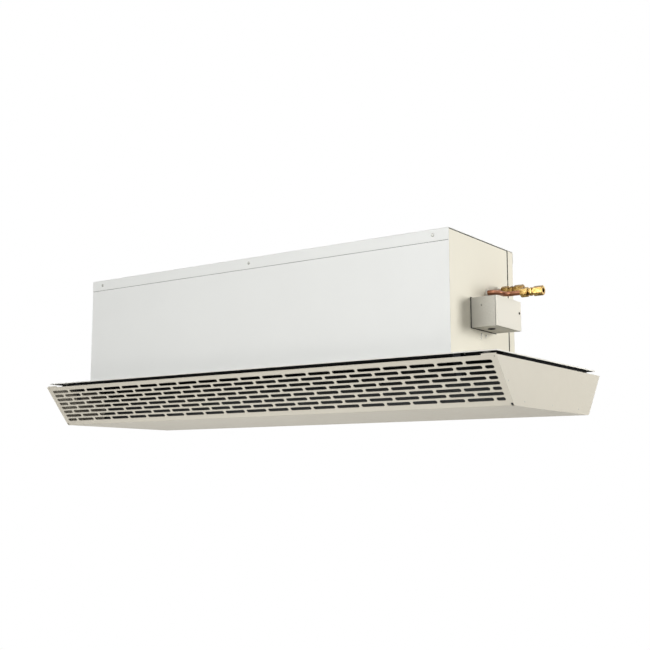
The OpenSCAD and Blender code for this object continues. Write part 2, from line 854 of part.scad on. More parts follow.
tongue_tip = fan_point(impeller_r + scroll_gap + 0.5, 8);
tongue_path = [[rear_in, fan_z + 34], [rear_in, fan_z + 20], tongue_tip,
    fan_point(impeller_r + scroll_gap + 2, -14), [outlet_y1 - 6, sheet_t + 20],
    [outlet_y1 + 1, 2 * sheet_t], [outlet_y1 + 8, 2 * sheet_t]];

module fan_tongues() {
    color("gainsboro")
        for (side = [0, 1])
            mirror([side, 0, 0])
                along_x(bracket_half + ear_t + 2, bulkhead_in)
                    polygon(mitred(tongue_path, sheet_t));
}

// Motor and its bracket

module motor_housing() {
    color("dimgray")
        at_yz([fan_y, fan_z])
            difference() {
                union() {
                    rotate([0, 90, 0])
                        rotate_extrude()
                            polygon([[0, -motor_half], [motor_r - 6, -motor_half], [motor_r, -motor_half + 6],
                                [motor_r, -8], [motor_r - 2, -8], [motor_r - 2, 8], [motor_r, 8],
                                [motor_r, motor_half - 6], [motor_r - 6, motor_half], [0, motor_half]]);
                    rod_x(-bracket_half - ear_t, bracket_half + ear_t, boss_r);
                }
                rod_x(-bracket_half - ear_t - cut, bracket_half + ear_t + cut, shaft_r + running_gap);
            }
}

module motor_mounts() {
    color([0.1, 0.1, 0.1])
        at_yz([fan_y, fan_z])
            for (side = [0, 1])
                mirror([side, 0, 0]) ring_x(bracket_half, bracket_half + ear_t, mount_r, boss_r + pipe_fit);
}

module motor_bracket() {
    web_y = fan_front;
    foot_z = fan_z - 30;
    head_z = fan_z + 26;
    nose_y = fan_y + 24;
    shoulder = [18, 20];
    color("lightgray")
        difference() {
            union() {
                block([-bracket_half - ear_t, web_y, foot_z], [bracket_half + ear_t, web_y + ear_t, head_z]);
                for (side = [0, 1])
                    mirror([side, 0, 0])
                        along_x(bracket_half, bracket_half + ear_t)
                            polygon([[web_y, foot_z], [fan_y, 2 * fan_z - head_z],
                                [fan_y + shoulder[0], fan_z - shoulder[1]], [nose_y, fan_z],
                                [fan_y + shoulder[0], fan_z + shoulder[1]], [fan_y, head_z],
                                [web_y, head_z]]);
            }
            at_yz([fan_y, fan_z]) rod_x(-bracket_half - 10, bracket_half + 10, mount_r + pipe_fit);
        }
}

// Rotating parts

module fan_shaft() {
    color("silver")
        at_yz([fan_y, fan_z]) rod_x(-bulkhead_x - 6, bulkhead_x + 6, shaft_r);
}

// One blade: a curved strip from the inner to the outer circle
blade_in = impeller_r - blade_d;
blade_sag = 1.6;
blade_t = 0.8;
function blade_side(off) =
    [for (k = [0:4])
        let (s = k / 4, r = blade_in + blade_d * s, lean = 14 * s)
        r * [cos(lean), sin(lean)] + (off - blade_sag * 4 * s * (1 - s)) * [-sin(lean), cos(lean)]];

module impeller(x0, x1) {
    rings = 5;
    at_yz([fan_y, fan_z]) {
        along_x(x0, x1)
            for (i = [0:blade_count - 1])
                rotate(i * 360 / blade_count)
                    polygon(concat(blade_side(0), reversed(blade_side(blade_t))));
        for (i = [1:rings - 2]) {
            ring_x0 = x0 + (x1 - x0 - disc_t) * i / (rings - 1);
            ring_x(ring_x0, ring_x0 + disc_t, impeller_r, blade_in - 1);
        }
        for (x = [x0, x1 - disc_t])
            ring_x(x, x + disc_t, impeller_r, shaft_r + running_gap);
    }
}

module left_impeller() {
    color("slategray") mirror([1, 0, 0]) impeller(impeller_x0, impeller_x1);
}

module right_impeller() {
    color("slategray") impeller(impeller_x0, impeller_x1);
}

module fan_bearings() {
    color("silver")
        at_yz([fan_y, fan_z])
            for (side = [0, 1])
                mirror([side, 0, 0])
                    ring_x(bulkhead_in - 2, bulkhead_x + 4, bearing_r, shaft_r + running_gap);
}

module bearing_rubbers() {
    color([0.1, 0.1, 0.1])
        at_yz([fan_y, fan_z])
            for (side = [0, 1])
                mirror([side, 0, 0])
                    ring_x(bulkhead_in - 1, bulkhead_x + 1, rubber_r, bearing_r + pipe_fit);
}

// Terminal box

cover_t = 1.5;
gland_r = 8;
gland_place = [wall_x + box_d * 0.45, box_y + box_w * 0.35];
cover_gap = 0.3;
box_screw_r = 1.5;
screw_height = 0.6;

knock_out_r = 10;
knock_out_places = [[0.3, 0.72], [0.72, 0.78]];
box_end = wall_x + box_d - box_lip - cover_gap;
// Small hole in the box's front side
earth_hole = [wall_x + 24, box_z + 43];
earth_hole_r = 1.2;
tab_w = 14;

// A shallow ring pressed into the sheet round a plate that can be knocked out
module knock_out_ring(r) {
    translate([0, 0, -cut])
        difference() {
            cylinder(h = cut + 0.4, r = r);
            cylinder(h = 3 * cut, r = r - 0.7, center = true);
        }
}

// Tongue on the box's rear wall that the cover's screw goes into
module cover_tongue() {
    inside = box_y + box_w - sheet_t;
    screw_z = box_z + box_h * screw_height;
    tip = wall_x + box_d - cover_t - 0.2;
    root = box_end - 10;
    low = screw_z - tab_w / 2;
    high = screw_z + tab_w / 2;
    difference() {
        union() {
            block([root, inside - 1.7, low], [box_end, inside, high]);
            block([root, inside - 1.7, low], [tip, inside - 0.5, high]);
            block([tip - sheet_t, inside - tab_w, low], [tip, inside - 0.5, high]);
        }
        box_screw_place() cylinder(h = 20, r = box_screw_r + 0.05, center = true);
    }
}

module terminal_box() {
    color("lightgray") {
        difference() {
            block([wall_x, box_y, box_z], [box_end, box_y + box_w, box_z + box_h]);
            block([wall_x + sheet_t, box_y + sheet_t, box_z + sheet_t],
                [wall_x + box_d, box_y + box_w - sheet_t, box_z + box_h - sheet_t]);
            translate([gland_place[0], gland_place[1], box_z])
                cylinder(h = 10, r = gland_r - 2, center = true);
            at_yz(cable_hole_place) rod_x(wall_x - cut, wall_x + 3, cable_hole_r);
            translate([earth_hole[0], box_y, earth_hole[1]])
                rotate([90, 0, 0]) cylinder(h = 4, r = earth_hole_r, center = true);
            for (p = knock_out_places)
                translate([wall_x + box_d * p[0], box_y + box_w * p[1], box_z]) {
                    knock_out_ring(knock_out_r);
                    knock_out_ring(knock_out_r - 3);
                }
        }
        cover_tongue();
    }
}

module terminal_box_cover() {
    color("gainsboro")
        difference() {
            block([wall_x + box_d - box_lip, box_y, box_z], [wall_x + box_d, box_y + box_w, box_z + box_h]);
            block([wall_x + box_d - box_lip - cut, box_y + cover_t, box_z + cover_t],
                [wall_x + box_d - cover_t, box_y + box_w - cover_t, box_z + box_h - cover_t]);
            box_screw_place() cylinder(h = hole_cut_l, r = box_screw_r + screw_clearance, center = true);
        }
}

module box_screw_place() {
    translate([wall_x + box_d, box_y + box_w - 8, box_z + box_h * screw_height])
        rotate([0, 90, 0]) children();
}

module terminal_cover_screw() {
    color("dimgray") box_screw_place() pan_head(2.6, 1.4, box_screw_r, 10);
}

poles = 5;
pole_pitch = 9;
pole_hole_r = 2.2;
block_h = 20;
block_z = box_z + 14;

module terminal_block() {
    block_y = box_y + box_w * 0.5;
    foot_x = wall_x + sheet_t;
    color("white")
        difference() {
            block([foot_x, block_y, block_z],
                [foot_x + block_h, block_y + poles * pole_pitch + 1, block_z + block_h]);
            for (i = [0:poles - 1])
                for (z = [block_z + block_h / 4, block_z + block_h * 3 / 4])
                    translate([foot_x + 12, block_y + 5 + pole_pitch * i, z])
                        rotate([0, 90, 0]) cylinder(h = hole_cut_l, r = pole_hole_r);
            for (i = [1:poles - 1])
                block([foot_x + block_h - 4, block_y + pole_pitch * i, block_z - cut],
                    [foot_x + block_h + cut, block_y + pole_pitch * i + 1, block_z + block_h + cut]);
        }
}

module cable_grommet() {
    color([0.15, 0.15, 0.15])
        translate([gland_place[0], gland_place[1], box_z])
            rotate_extrude()
                polygon([[gland_r - 4, -1.5], [gland_r - 1, -1.5], [gland_r, -0.6], [gland_r, 0],
                    [gland_r - 2, 0], [gland_r - 2, sheet_t], [gland_r, sheet_t], [gland_r, sheet_t + 1],
                    [gland_r - 4, sheet_t + 1]]);
}

// Filter

filter_x = opening_l / 2 - filter_gap;
filter_y0 = intake_y0 + filter_gap;
filter_y1 = intake_y1 - filter_gap;
filter_z = -sheet_t;

module filter_frame() {
    color([0.2, 0.2, 0.22])
        difference() {
            block([-filter_x, filter_y0, filter_z], [filter_x, filter_y1, filter_z + filter_t]);
            for (i = [0:3])
                block([-filter_x + filter_bar + i * (2 * filter_x - filter_bar) / 4, filter_y0 + filter_bar,
                    filter_z - cut],
                    [-filter_x + (i + 1) * (2 * filter_x - filter_bar) / 4, filter_y1 - filter_bar,
                    filter_z + filter_t + cut]);
            block([-filter_x + filter_bar / 2, filter_y0 + filter_bar / 2, filter_z + filter_t / 2 - 1],
                [filter_x - filter_bar / 2, filter_y1 - filter_bar / 2, filter_z + filter_t / 2 + 1]);
        }
}

module filter_mat() {
    inset = filter_bar / 2 + 0.1;
    middle_z = filter_z + filter_t / 2;
    color([0.1, 0.1, 0.1])
        block([-filter_x + inset, filter_y0 + inset, middle_z - 0.9],
            [filter_x - inset, filter_y1 - inset, middle_z + 0.9]);
}

// Angles above the intake opening that the filter is pushed up against
rail_inset = 4;
rail_ledge = 8;

module filter_rails() {
    top = filter_z + filter_t + seat;
    y0 = intake_y0 + rail_inset;
    y1 = intake_y1 - rail_inset;
    color("lightgray")
        for (side = [0, 1])
            mirror([side, 0, 0]) {
                block([opening_l / 2, y0, 0], [opening_l / 2 + sheet_t, y1, top + sheet_t]);
                block([opening_l / 2 - rail_ledge, y0, top], [opening_l / 2 + sheet_t, y1, top + sheet_t]);
                block([opening_l / 2, y0, 0], [bulkhead_in, y1, sheet_t]);
            }
}

// Hinges

hinge_reach = 26;
hinge_foot_y = hinge_y - hinge_reach;

module hinge_brackets() {
    color("silver")
        for (side = [0, 1])
            mirror([side, 0, 0])
                translate([hinge_x, 0, 0])
                    difference() {
                        union() {
                            along_x(0, ear_t) {
                                polygon([[hinge_foot_y - 12, -sheet_t], [hinge_foot_y - 12, -sheet_t - 5],
                                    [hinge_y - 2.5, hinge_z - 3], [hinge_y + 1, hinge_z + 3.8],
                                    [hinge_y - 12, hinge_z + 10.5], [hinge_foot_y + 8, -sheet_t]]);
                                translate([hinge_y, hinge_z]) circle(r = knuckle_r);
                            }
                            block([-10, hinge_foot_y - 12, -sheet_t - ear_t],
                                [ear_t, hinge_foot_y + 8, -sheet_t]);
                        }
                        at_yz([hinge_y, hinge_z]) rod_x(-cut, ear_t + cut, hinge_pin_r + hinge_gap);
                    }
}

module hinge_pins() {
    color("dimgray")
        for (side = [0, 1])
            mirror([side, 0, 0])
                translate([hinge_x, hinge_y, hinge_z]) {
                    rod_x(-1.5, ear_t + ear_space + ear_t + 1, hinge_pin_r);
                    rod_x(-2.7, -0.2, hinge_pin_r + 1.2);
                }
}

// Plates inside the tray that turn on the hinge pins
module hinge_arms() {
    inner = [tray_y1, tray_top] + sheet_t * [-sin(slope), cos(slope)];
    down = -[cos(slope), sin(slope)];
    color("silver")
        for (side = [0, 1])
            mirror([side, 0, 0])
                translate([hinge_x + ear_t + ear_space, 0, 0])
                    difference() {
                        along_x(0, ear_t) {
                            polygon([inner + 11 * down, inner + 46 * down, [hinge_y - 14, hinge_z - 12],
                                [hinge_y - 3.4, hinge_z + 2], [hinge_y + 1, hinge_z + 3.8]]);
                            translate([hinge_y, hinge_z]) circle(r = knuckle_r);
                        }
                        at_yz([hinge_y, hinge_z]) rod_x(-cut, ear_t + cut, hinge_pin_r + hinge_gap);
                    }
}

// Catches

striker_w = 16;
// Distance of the clips' jaws from the middle of a striker
clip_grip = sheet_t / 2 + 0.5;
clip_half = 7;
clip_t = 1;
// Depths below the pan at which a jaw bends, is narrowest and ends
clip_bend_z = 9;
clip_throat_z = 14;
clip_end_z = 20;

module catch_clips() {
    color("silver")
        for (side = [0, 1])
            mirror([side, 0, 0])
                translate([hinge_x - striker_w / 2, 0, 0]) {
                    block([0, catch_y - clip_half, -sheet_t - clip_t],
                        [striker_w, catch_y + clip_half, -sheet_t]);
                    for (s = [-1, 1])
                        along_x(0, striker_w)
                            translate([catch_y, -sheet_t])
                                polygon([[s * (clip_half - clip_t), 0], [s * clip_half, 0],
                                    [s * clip_half, -clip_bend_z],
                                    [s * (clip_grip + clip_t), -clip_throat_z],
                                    [s * (clip_half - clip_t), -clip_end_z + clip_t],
                                    [s * (clip_half - 2 * clip_t), -clip_end_z],
                                    [s * clip_grip, -clip_throat_z],
                                    [s * (clip_half - clip_t), -clip_bend_z + 0.4]]);
                }
}

// Tongues that the clips grip: folded strips welded inside the tray's front face
module catch_strikers() {
    strip_y = catch_y - sheet_t / 2;
    foot_z = tray_top - (strip_y - tray_y0 - sheet_t / sin(slope)) * tray_h / tray_inset;
    foot = [strip_y, foot_z];
    color("silver")
        for (side = [0, 1])
            mirror([side, 0, 0])
                along_x(hinge_x - striker_w / 2 + 2, hinge_x + striker_w / 2 - 2)
                    polygon(folded([[strip_y, -sheet_t - 5], foot, foot + 14 * [cos(slope), -sin(slope)]],
                        sheet_t, sheet_bend));
}

// Grille tray

// Slots of one sloping face, in the plane of the sheet: x along the tray, y down from the top edge
module slot_pattern() {
    x0 = -slot_field / 2;
    for (row = [0:slot_rows - 1]) {
        shift = row % 2 == 0 ? 0 : row_shift - slot_pitch;
        for (i = [0:slot_count])
            let (a = max(x0, x0 + shift + i * slot_pitch))
            let (b = min(-x0, x0 + shift + i * slot_pitch + slot_l))
                if (b - a > 2 * slot_h)
                    translate([0, -first_row - row * row_pitch]) slot(a, b);
    }
}

// One slot with round ends
module slot(a, b) {
    r = slot_h / 2;
    translate([a + r, -r]) square([b - a - slot_h, slot_h]);
    translate([a + r, 0]) circle(r = r, $fn = 24);
    translate([b - r, 0]) circle(r = r, $fn = 24);
}

// Moves a shape drawn in the XY plane into the front sloping face: y up the slope from the top edge,
// z out of the outer side
module on_front_face() {
    translate([0, tray_y0, tray_top]) rotate([180 - slope, 0, 0]) children();
}

// Repeats a shape of the tray's front at its rear
module front_and_rear() {
    children();
    translate([0, 2 * tray_offset, 0]) mirror([0, 1, 0]) children();
}

// Repeats a shape of the right end at the left end
module both_ends() {
    children();
    mirror([1, 0, 0]) children();
}

module tray_shell() {
    color([0.79, 0.77, 0.72])
        difference() {
            union() {
                along_x(-shell_half, shell_half) polygon(folded(tray_path, sheet_t, tray_radii));
                both_ends() {
                    end_flange();
                    block([tray_l / 2 - tab_l, tray_y0 + tab_set, tray_top - sheet_t],
                        [shell_half, tray_y0 + tab_set + sheet_t, tray_top + tab_h]);
                }
            }
            front_and_rear()
                on_front_face()
                    translate([0, 0, -sheet_t - cut]) linear_extrude(sheet_t + 2 * cut) slot_pattern();
            both_ends() front_and_rear() corner_notches();
            both_ends()
                front_and_rear()
                    on_front_face()
                        translate([tray_l / 2 - relief_in, -relief_in, -sheet_t - cut])
                            cylinder(h = sheet_t + 2 * cut, r = relief_r);
        }
}

// Relief cuts where the end flanges meet at the top edge and at the bottom fold
module corner_notches() {
    block([shell_half - 3, tray_y0 - cut, tray_top - 3],
        [shell_half + cut, tray_y0 + tab_set, tray_top + cut]);
    translate([0, tray_y0 + tray_inset, tray_bottom])
        rotate([90 - slope / 2, 0, 0])
            block([shell_half - notch_w, -notch_l / 2, -notch_l / 2],
                [shell_half + cut, notch_l / 2, notch_l / 2]);
}

// Sheets turned in at the end of the shell, behind the end plate
module end_flange() {
    along_x(shell_half - sheet_t, shell_half)
        intersection() {
            polygon(tray_outline());
            union() {
                translate([tray_y0 + tray_inset + end_flange_w / 2, tray_bottom])
                    square([tray_d - 2 * tray_inset - end_flange_w, end_flange_w]);
                for (s = [-1, 1])
                    translate([tray_offset + s * (tray_d / 2), tray_top])
                        rotate(s * (slope - 90))
                            translate([s > 0 ? -end_flange_w : 0, end_flange_w - slant])
                                square([end_flange_w, slant - 1.3 * end_flange_w]);
            }
        }
}

// Outer outline of the tray's section, with its bottom folds
function tray_outline() =
    let (p = [tray_path[1], tray_path[2], tray_path[3], tray_path[4]])
    side_pts(p, sheet_t, [tray_bend - sheet_t, tray_rear_bend - sheet_t], 0);

module tray_end() {
    along_x(shell_half, tray_l / 2)
        polygon(tray_outline());
}

module tray_left_end() {
    color([0.83, 0.82, 0.78]) mirror([1, 0, 0]) tray_end();
}

module tray_right_end() {
    color([0.83, 0.82, 0.78]) tray_end();
}

rivet_inset = 10;

module tray_end_rivets() {
    low_z = tray_bottom + rivet_inset;
    mid_y = tray_d / 2 - tray_inset / 2 - rivet_inset / sin(slope);
    mid_z = tray_top - tray_h / 2;
    color("gainsboro")
        for (side = [0, 1])
            mirror([side, 0, 0])
                for (p = [[-138, low_z], [-8, low_z], [127, low_z], [-mid_y, mid_z], [mid_y, mid_z]])
                    translate([tray_l / 2, tray_offset + p[0], p[1]])
                        rotate([0, 90, 0]) cylinder(h = 0.5, r1 = 1.6, r2 = 1);
}

top_cover();
cover_screws();
front_panel();
front_corner_angles();
rear_panel();
left_end_wall();
right_end_wall();
ceiling_pan();
pan_lining();
pan_screws();
left_bulkhead();
right_bulkhead();
partition_plate();
plenum_divider();
divider_seal();
fin_pack();
coil_tubes();
return_bends();
front_tail();
front_pipe();
rear_pipe();
pipe_grommets();
inner_nuts();
coupling_bodies();
outer_nuts();
olives();
air_vent_body();
vent_screw();
fan_scrolls();
fan_tongues();
motor_housing();
motor_bracket();
motor_mounts();
fan_bearings();
bearing_rubbers();
fan_shaft();
left_impeller();
right_impeller();
terminal_box();
terminal_box_cover();
terminal_cover_screw();
terminal_block();
cable_grommet();
end_wall_rivets();
filter_rails();
filter_frame();
filter_mat();
hinge_brackets();
hinge_pins();
catch_clips();
tray_shell();
tray_left_end();
tray_right_end();
tray_end_rivets();
hinge_arms();
catch_strikers();
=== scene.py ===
"""Looks of a ceiling fan coil unit: finishes, small fitted pieces, stage, light and camera."""
import json
import math

import bmesh
import bpy
from mathutils import Matrix, Vector


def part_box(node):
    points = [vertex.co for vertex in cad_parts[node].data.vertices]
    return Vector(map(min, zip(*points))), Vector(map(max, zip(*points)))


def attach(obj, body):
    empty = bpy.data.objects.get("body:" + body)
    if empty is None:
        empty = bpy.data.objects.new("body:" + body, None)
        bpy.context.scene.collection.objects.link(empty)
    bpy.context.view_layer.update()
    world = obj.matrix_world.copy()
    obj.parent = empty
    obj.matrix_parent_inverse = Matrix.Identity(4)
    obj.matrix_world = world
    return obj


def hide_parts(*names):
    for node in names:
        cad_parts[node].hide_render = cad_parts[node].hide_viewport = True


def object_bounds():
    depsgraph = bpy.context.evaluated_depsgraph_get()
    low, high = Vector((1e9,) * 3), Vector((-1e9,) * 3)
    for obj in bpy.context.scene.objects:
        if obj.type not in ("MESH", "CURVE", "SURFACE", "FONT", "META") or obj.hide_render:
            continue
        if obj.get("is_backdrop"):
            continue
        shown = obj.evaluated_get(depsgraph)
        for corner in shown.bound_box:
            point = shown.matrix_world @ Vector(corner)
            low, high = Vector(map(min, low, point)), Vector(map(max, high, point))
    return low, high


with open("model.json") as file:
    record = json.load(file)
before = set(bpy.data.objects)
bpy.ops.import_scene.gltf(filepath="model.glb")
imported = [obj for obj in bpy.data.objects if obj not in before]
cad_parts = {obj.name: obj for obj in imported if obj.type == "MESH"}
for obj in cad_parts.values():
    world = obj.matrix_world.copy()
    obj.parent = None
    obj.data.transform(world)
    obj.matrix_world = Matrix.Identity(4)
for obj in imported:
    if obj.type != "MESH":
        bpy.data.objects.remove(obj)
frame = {"nodes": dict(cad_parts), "record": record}
cad_low, cad_high = (list(corner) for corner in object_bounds())

NODES = frame["nodes"]
MM = 0.001


# Colours

def linear(red, green, blue):
    """An 8-bit sRGB colour as a linear RGBA tuple."""
    def channel(value):
        value = value / 255
        return value / 12.92 if value <= 0.04045 else ((value + 0.055) / 1.055) ** 2.4
    return channel(red), channel(green), channel(blue), 1.0


def shade(colour, factor):
    """A colour made darker or lighter by a factor."""
    return tuple(channel * factor for channel in colour[:3]) + (1.0,)


# Node materials

COLOUR_MIX_FACTOR = 0
COLOUR_MIX_FIRST = 6
COLOUR_MIX_SECOND = 7
COLOUR_MIX_RESULT = 2


class Material:
    """A Principled material and short calls that add nodes to it. Noise scales are cells per metre."""

    def __init__(self, name, roughness, metallic=0.0, specular=0.5, coat=0.0, coat_roughness=0.2):
        self.material = bpy.data.materials.new(name)
        self.material.use_nodes = True
        self.tree = self.material.node_tree
        self.shader = self.tree.nodes["Principled BSDF"]
        self.shader.inputs["Roughness"].default_value = roughness
        self.shader.inputs["Metallic"].default_value = metallic
        self.shader.inputs["Specular IOR Level"].default_value = specular
        self.shader.inputs["Coat Weight"].default_value = coat
        self.shader.inputs["Coat Roughness"].default_value = coat_roughness

    def node(self, kind, **values):
        """A new node with these input values."""
        made = self.tree.nodes.new(kind)
        for key, value in values.items():
            made.inputs[key].default_value = value
        return made

    def link(self, source, target):
        self.tree.links.new(source, target)

    def object_coordinates(self, scale=(1.0, 1.0, 1.0)):
        """Object coordinates in metres, scaled along the axes."""
        coordinates = self.node("ShaderNodeTexCoord")
        mapping = self.node("ShaderNodeMapping", Scale=scale)
        self.link(coordinates.outputs["Object"], mapping.inputs["Vector"])
        return mapping.outputs["Vector"]

    def noise(self, scale, detail=3.0, roughness=0.55, stretch=(1.0, 1.0, 1.0)):
        """Noise from 0 to 1; a stretch below 1 draws it out along that axis."""
        texture = self.node("ShaderNodeTexNoise", Scale=scale, Detail=detail, Roughness=roughness)
        self.link(self.object_coordinates(stretch), texture.inputs["Vector"])
        return texture.outputs["Fac"]

    def cells(self, scale, output="Distance"):
        """Voronoi cells, as the distance to their centres or as a colour for each."""
        texture = self.node("ShaderNodeTexVoronoi", Scale=scale)
        self.link(self.object_coordinates(), texture.inputs["Vector"])
        return texture.outputs[output]

    def ramp(self, factor, stops):
        """Colour ramp over a factor; stops are (position, colour)."""
        ramp = self.node("ShaderNodeValToRGB")
        elements = ramp.color_ramp.elements
        while len(elements) < len(stops):
            elements.new(0.5)
        for element, (position, colour) in zip(elements, stops):
            element.position = position
            element.color = colour
        self.link(factor, ramp.inputs["Fac"])
        return ramp.outputs["Color"]

    def patches(self, scale, first, second):
        """Soft patches of two colours."""
        return self.ramp(self.noise(scale, 4.0), [(0.3, first), (0.7, second)])

    def spread(self, factor, low, high, start=0.3, end=0.7):
        """A factor mapped from start..end to low..high."""
        mapping = self.node("ShaderNodeMapRange")
        for key, value in (("From Min", start), ("From Max", end), ("To Min", low), ("To Max", high)):
            mapping.inputs[key].default_value = value
        self.link(factor, mapping.inputs["Value"])
        return mapping.outputs["Result"]

    def mix(self, factor, first, second):
        """Mix of two colours, each a socket or a fixed colour: the first at factor 0, the second at 1."""
        mix = self.node("ShaderNodeMix")
        mix.data_type = "RGBA"
        keys = (COLOUR_MIX_FACTOR, COLOUR_MIX_FIRST, COLOUR_MIX_SECOND)
        for value, key in zip((factor, first, second), keys):
            if isinstance(value, bpy.types.NodeSocket):
                self.link(value, mix.inputs[key])
            else:
                mix.inputs[key].default_value = value
        return mix.outputs[COLOUR_MIX_RESULT]

    def axis(self, vector, name):
        """One component of a vector."""
        parts = self.node("ShaderNodeSeparateXYZ")
        self.link(vector, parts.inputs["Vector"])
        return parts.outputs[name]

    def colour(self, socket):
        self.link(socket, self.shader.inputs["Base Color"])

    def rough(self, socket):
        self.link(socket, self.shader.inputs["Roughness"])

    def bump(self, height, strength, distance):
        """Adds a bump on top of those already there."""
        bump = self.node("ShaderNodeBump", Strength=strength, Distance=distance)
        previous = self.shader.inputs["Normal"].links
        if previous:
            self.link(previous[0].from_socket, bump.inputs["Normal"])
        self.link(height, bump.inputs["Height"])
        self.link(bump.outputs["Normal"], self.shader.inputs["Normal"])


def powder_coat(name, colour, roughness=0.42, peel=0.12, mottle=0.03):
    """Powder coat: faint mottling of the colour, orange peel and fine grain."""
    made = Material(name, roughness=roughness, coat=0.05, coat_roughness=0.4)
    made.colour(made.patches(9.0, shade(colour, 1 - mottle), shade(colour, 1 + mottle / 2)))
    made.rough(made.spread(made.noise(60.0), roughness - 0.04, roughness + 0.06))
    orange_peel = made.noise(420.0, 2.0)
    made.bump(orange_peel, peel, 0.15 * MM)
    grain = made.noise(1600.0, 1.0)
    made.bump(grain, peel * 0.6, 0.05 * MM)
    return made.material


def pan_coat(name, face_colour, back_colour):
    """Coated sheet of the pan: white below and on its edges, a pale grey backing coat on its upper side."""
    made = Material(name, roughness=0.45, coat=0.1, coat_roughness=0.35)
    side = made.node("ShaderNodeNewGeometry")
    upper = made.spread(made.axis(side.outputs["Normal"], "Z"), 0.0, 1.0, 0.7, 0.9)
    face = made.patches(9.0, shade(face_colour, 0.99), face_colour)
    back = made.patches(14.0, shade(back_colour, 0.94), back_colour)
    made.colour(made.mix(upper, face, back))
    made.bump(made.noise(420.0, 2.0), 0.08, 0.15 * MM)
    return made.material


def galvanised(name, colour):
    """Galvanised sheet: soft spangles in colour and roughness."""
    made = Material(name, roughness=0.42, metallic=0.85)
    grey = made.node("ShaderNodeRGBToBW")
    made.link(made.cells(90.0, output="Color"), grey.inputs["Color"])
    spangle = grey.outputs["Val"]
    made.colour(made.ramp(spangle, [(0.1, shade(colour, 0.82)), (0.9, shade(colour, 1.08))]))
    made.rough(made.spread(spangle, 0.32, 0.56, 0.0, 1.0))
    made.bump(made.noise(500.0), 0.05, 0.05 * MM)
    return made.material


def turned_metal(name, colour, roughness, stretch=(1.0, 1.0, 1.0), stain=0.25):
    """Turned or drawn metal: light staining and fine scratches, which stretch draws out along an axis."""
    made = Material(name, roughness=roughness, metallic=1.0)
    stains = made.noise(70.0, 5.0)
    made.colour(made.ramp(stains, [(0.25, shade(colour, 1 - stain)), (0.75, colour)]))
    made.rough(made.spread(made.noise(160.0), roughness - 0.05, roughness + 0.12))
    scratches = made.noise(300.0, 3.0, 0.6, stretch)
    made.bump(scratches, 0.05, 0.05 * MM)
    return made.material


def cast_brass(name, dark, middle, light):
    """Brass fittings: soft patches of tarnish between bright ones, and a fine grain."""
    made = Material(name, roughness=0.28, metallic=1.0)
    tarnish = made.noise(85.0, 3.0, 0.5)
    made.colour(made.ramp(tarnish, [(0.32, dark), (0.5, middle), (0.66, light)]))
    made.rough(made.spread(made.noise(240.0), 0.2, 0.42))
    made.bump(made.noise(420.0, 3.0), 0.08, 0.05 * MM)
    return made.material


def moulded(name, colour, roughness):
    """Moulded plastic or rubber with a fine grain."""
    made = Material(name, roughness=roughness, specular=0.4)
    made.colour(made.patches(26.0, shade(colour, 0.95), shade(colour, 1.025)))
    made.rough(made.spread(made.noise(90.0), roughness - 0.06, roughness + 0.08))
    made.bump(made.noise(900.0, 2.0), 0.1, 0.1 * MM)
    return made.material


def foam(name, colour):
    """Open-pored foam or felt, almost black."""
    made = Material(name, roughness=0.95, specular=0.1)
    pores = made.cells(1300.0)
    made.colour(made.ramp(pores, [(0.0, shade(colour, 0.5)), (0.6, shade(colour, 1.6))]))
    made.bump(pores, 0.5, 0.3 * MM)
    return made.material


# Painted shade on the terminal box along X: full up to the first place, none beyond the second.
SHADE_FULL_X = 0.500
SHADE_END_X = 0.552


def hammered(name, colour):
    """Speckled finish of the terminal box, with painted shade that darkens it towards the wall."""
    made = Material(name, roughness=0.5)
    speckle = made.noise(620.0, 4.0, 0.7)
    flecks = made.ramp(speckle, [(0.35, shade(colour, 0.84)), (0.65, shade(colour, 1.06))])
    # Painted shade: the colour darkens towards the wall.
    painted_shade = made.spread(made.axis(made.object_coordinates(), "X"), 1.0, 0.0, SHADE_FULL_X, SHADE_END_X)
    made.colour(made.mix(painted_shade, flecks, shade(colour, 0.76)))
    made.rough(made.spread(made.noise(140.0), 0.4, 0.6))
    made.bump(speckle, 0.12, 0.1 * MM)
    return made.material


# Finishes of the material slots

FINISHES = {
    "casing_paint": powder_coat("casing_paint", linear(238, 239, 236), peel=0.05, mottle=0.01),
    "end_wall_paint": powder_coat("end_wall_paint", linear(238, 233, 216), peel=0.05, mottle=0.012),
    "grille_paint": powder_coat("grille_paint", linear(207, 201, 186), peel=0.1, mottle=0.02),
    "pan_paint": pan_coat("pan_paint", linear(240, 238, 230), linear(226, 227, 226)),
    "galvanised": galvanised("galvanised", linear(178, 181, 182)),
    "zinc": turned_metal("zinc", linear(190, 190, 184), 0.36, stain=0.15),
    "blackened_steel": turned_metal("blackened_steel", linear(40, 41, 44), 0.5, stain=0.2),
    "black_foam": foam("black_foam", linear(20, 21, 22)),
    "black_rubber": moulded("black_rubber", linear(26, 26, 27), 0.7),
    "grey_rubber": moulded("grey_rubber", linear(226, 223, 214), 0.5),
    "fin_aluminium": turned_metal("fin_aluminium", linear(205, 208, 211), 0.35, stain=0.1),
    "copper": turned_metal("copper", linear(184, 128, 100), 0.34, stretch=(0.1, 1.0, 1.0), stain=0.45),
    "brass": cast_brass("brass", linear(112, 84, 44), linear(158, 126, 72), linear(196, 170, 112)),
    "steel_shaft": turned_metal("steel_shaft", linear(168, 170, 172), 0.3),
    "motor_paint": powder_coat("motor_paint", linear(56, 58, 60), 0.5),
    "impeller_plastic": moulded("impeller_plastic", linear(62, 66, 72), 0.5),
    "box_plastic": hammered("box_plastic", linear(198, 195, 184)),
    "terminal_plastic": moulded("terminal_plastic", linear(228, 228, 222), 0.35),
    "filter_plastic": moulded("filter_plastic", linear(42, 44, 48), 0.5),
    "filter_fibre": foam("filter_fibre", linear(34, 34, 36)),
}


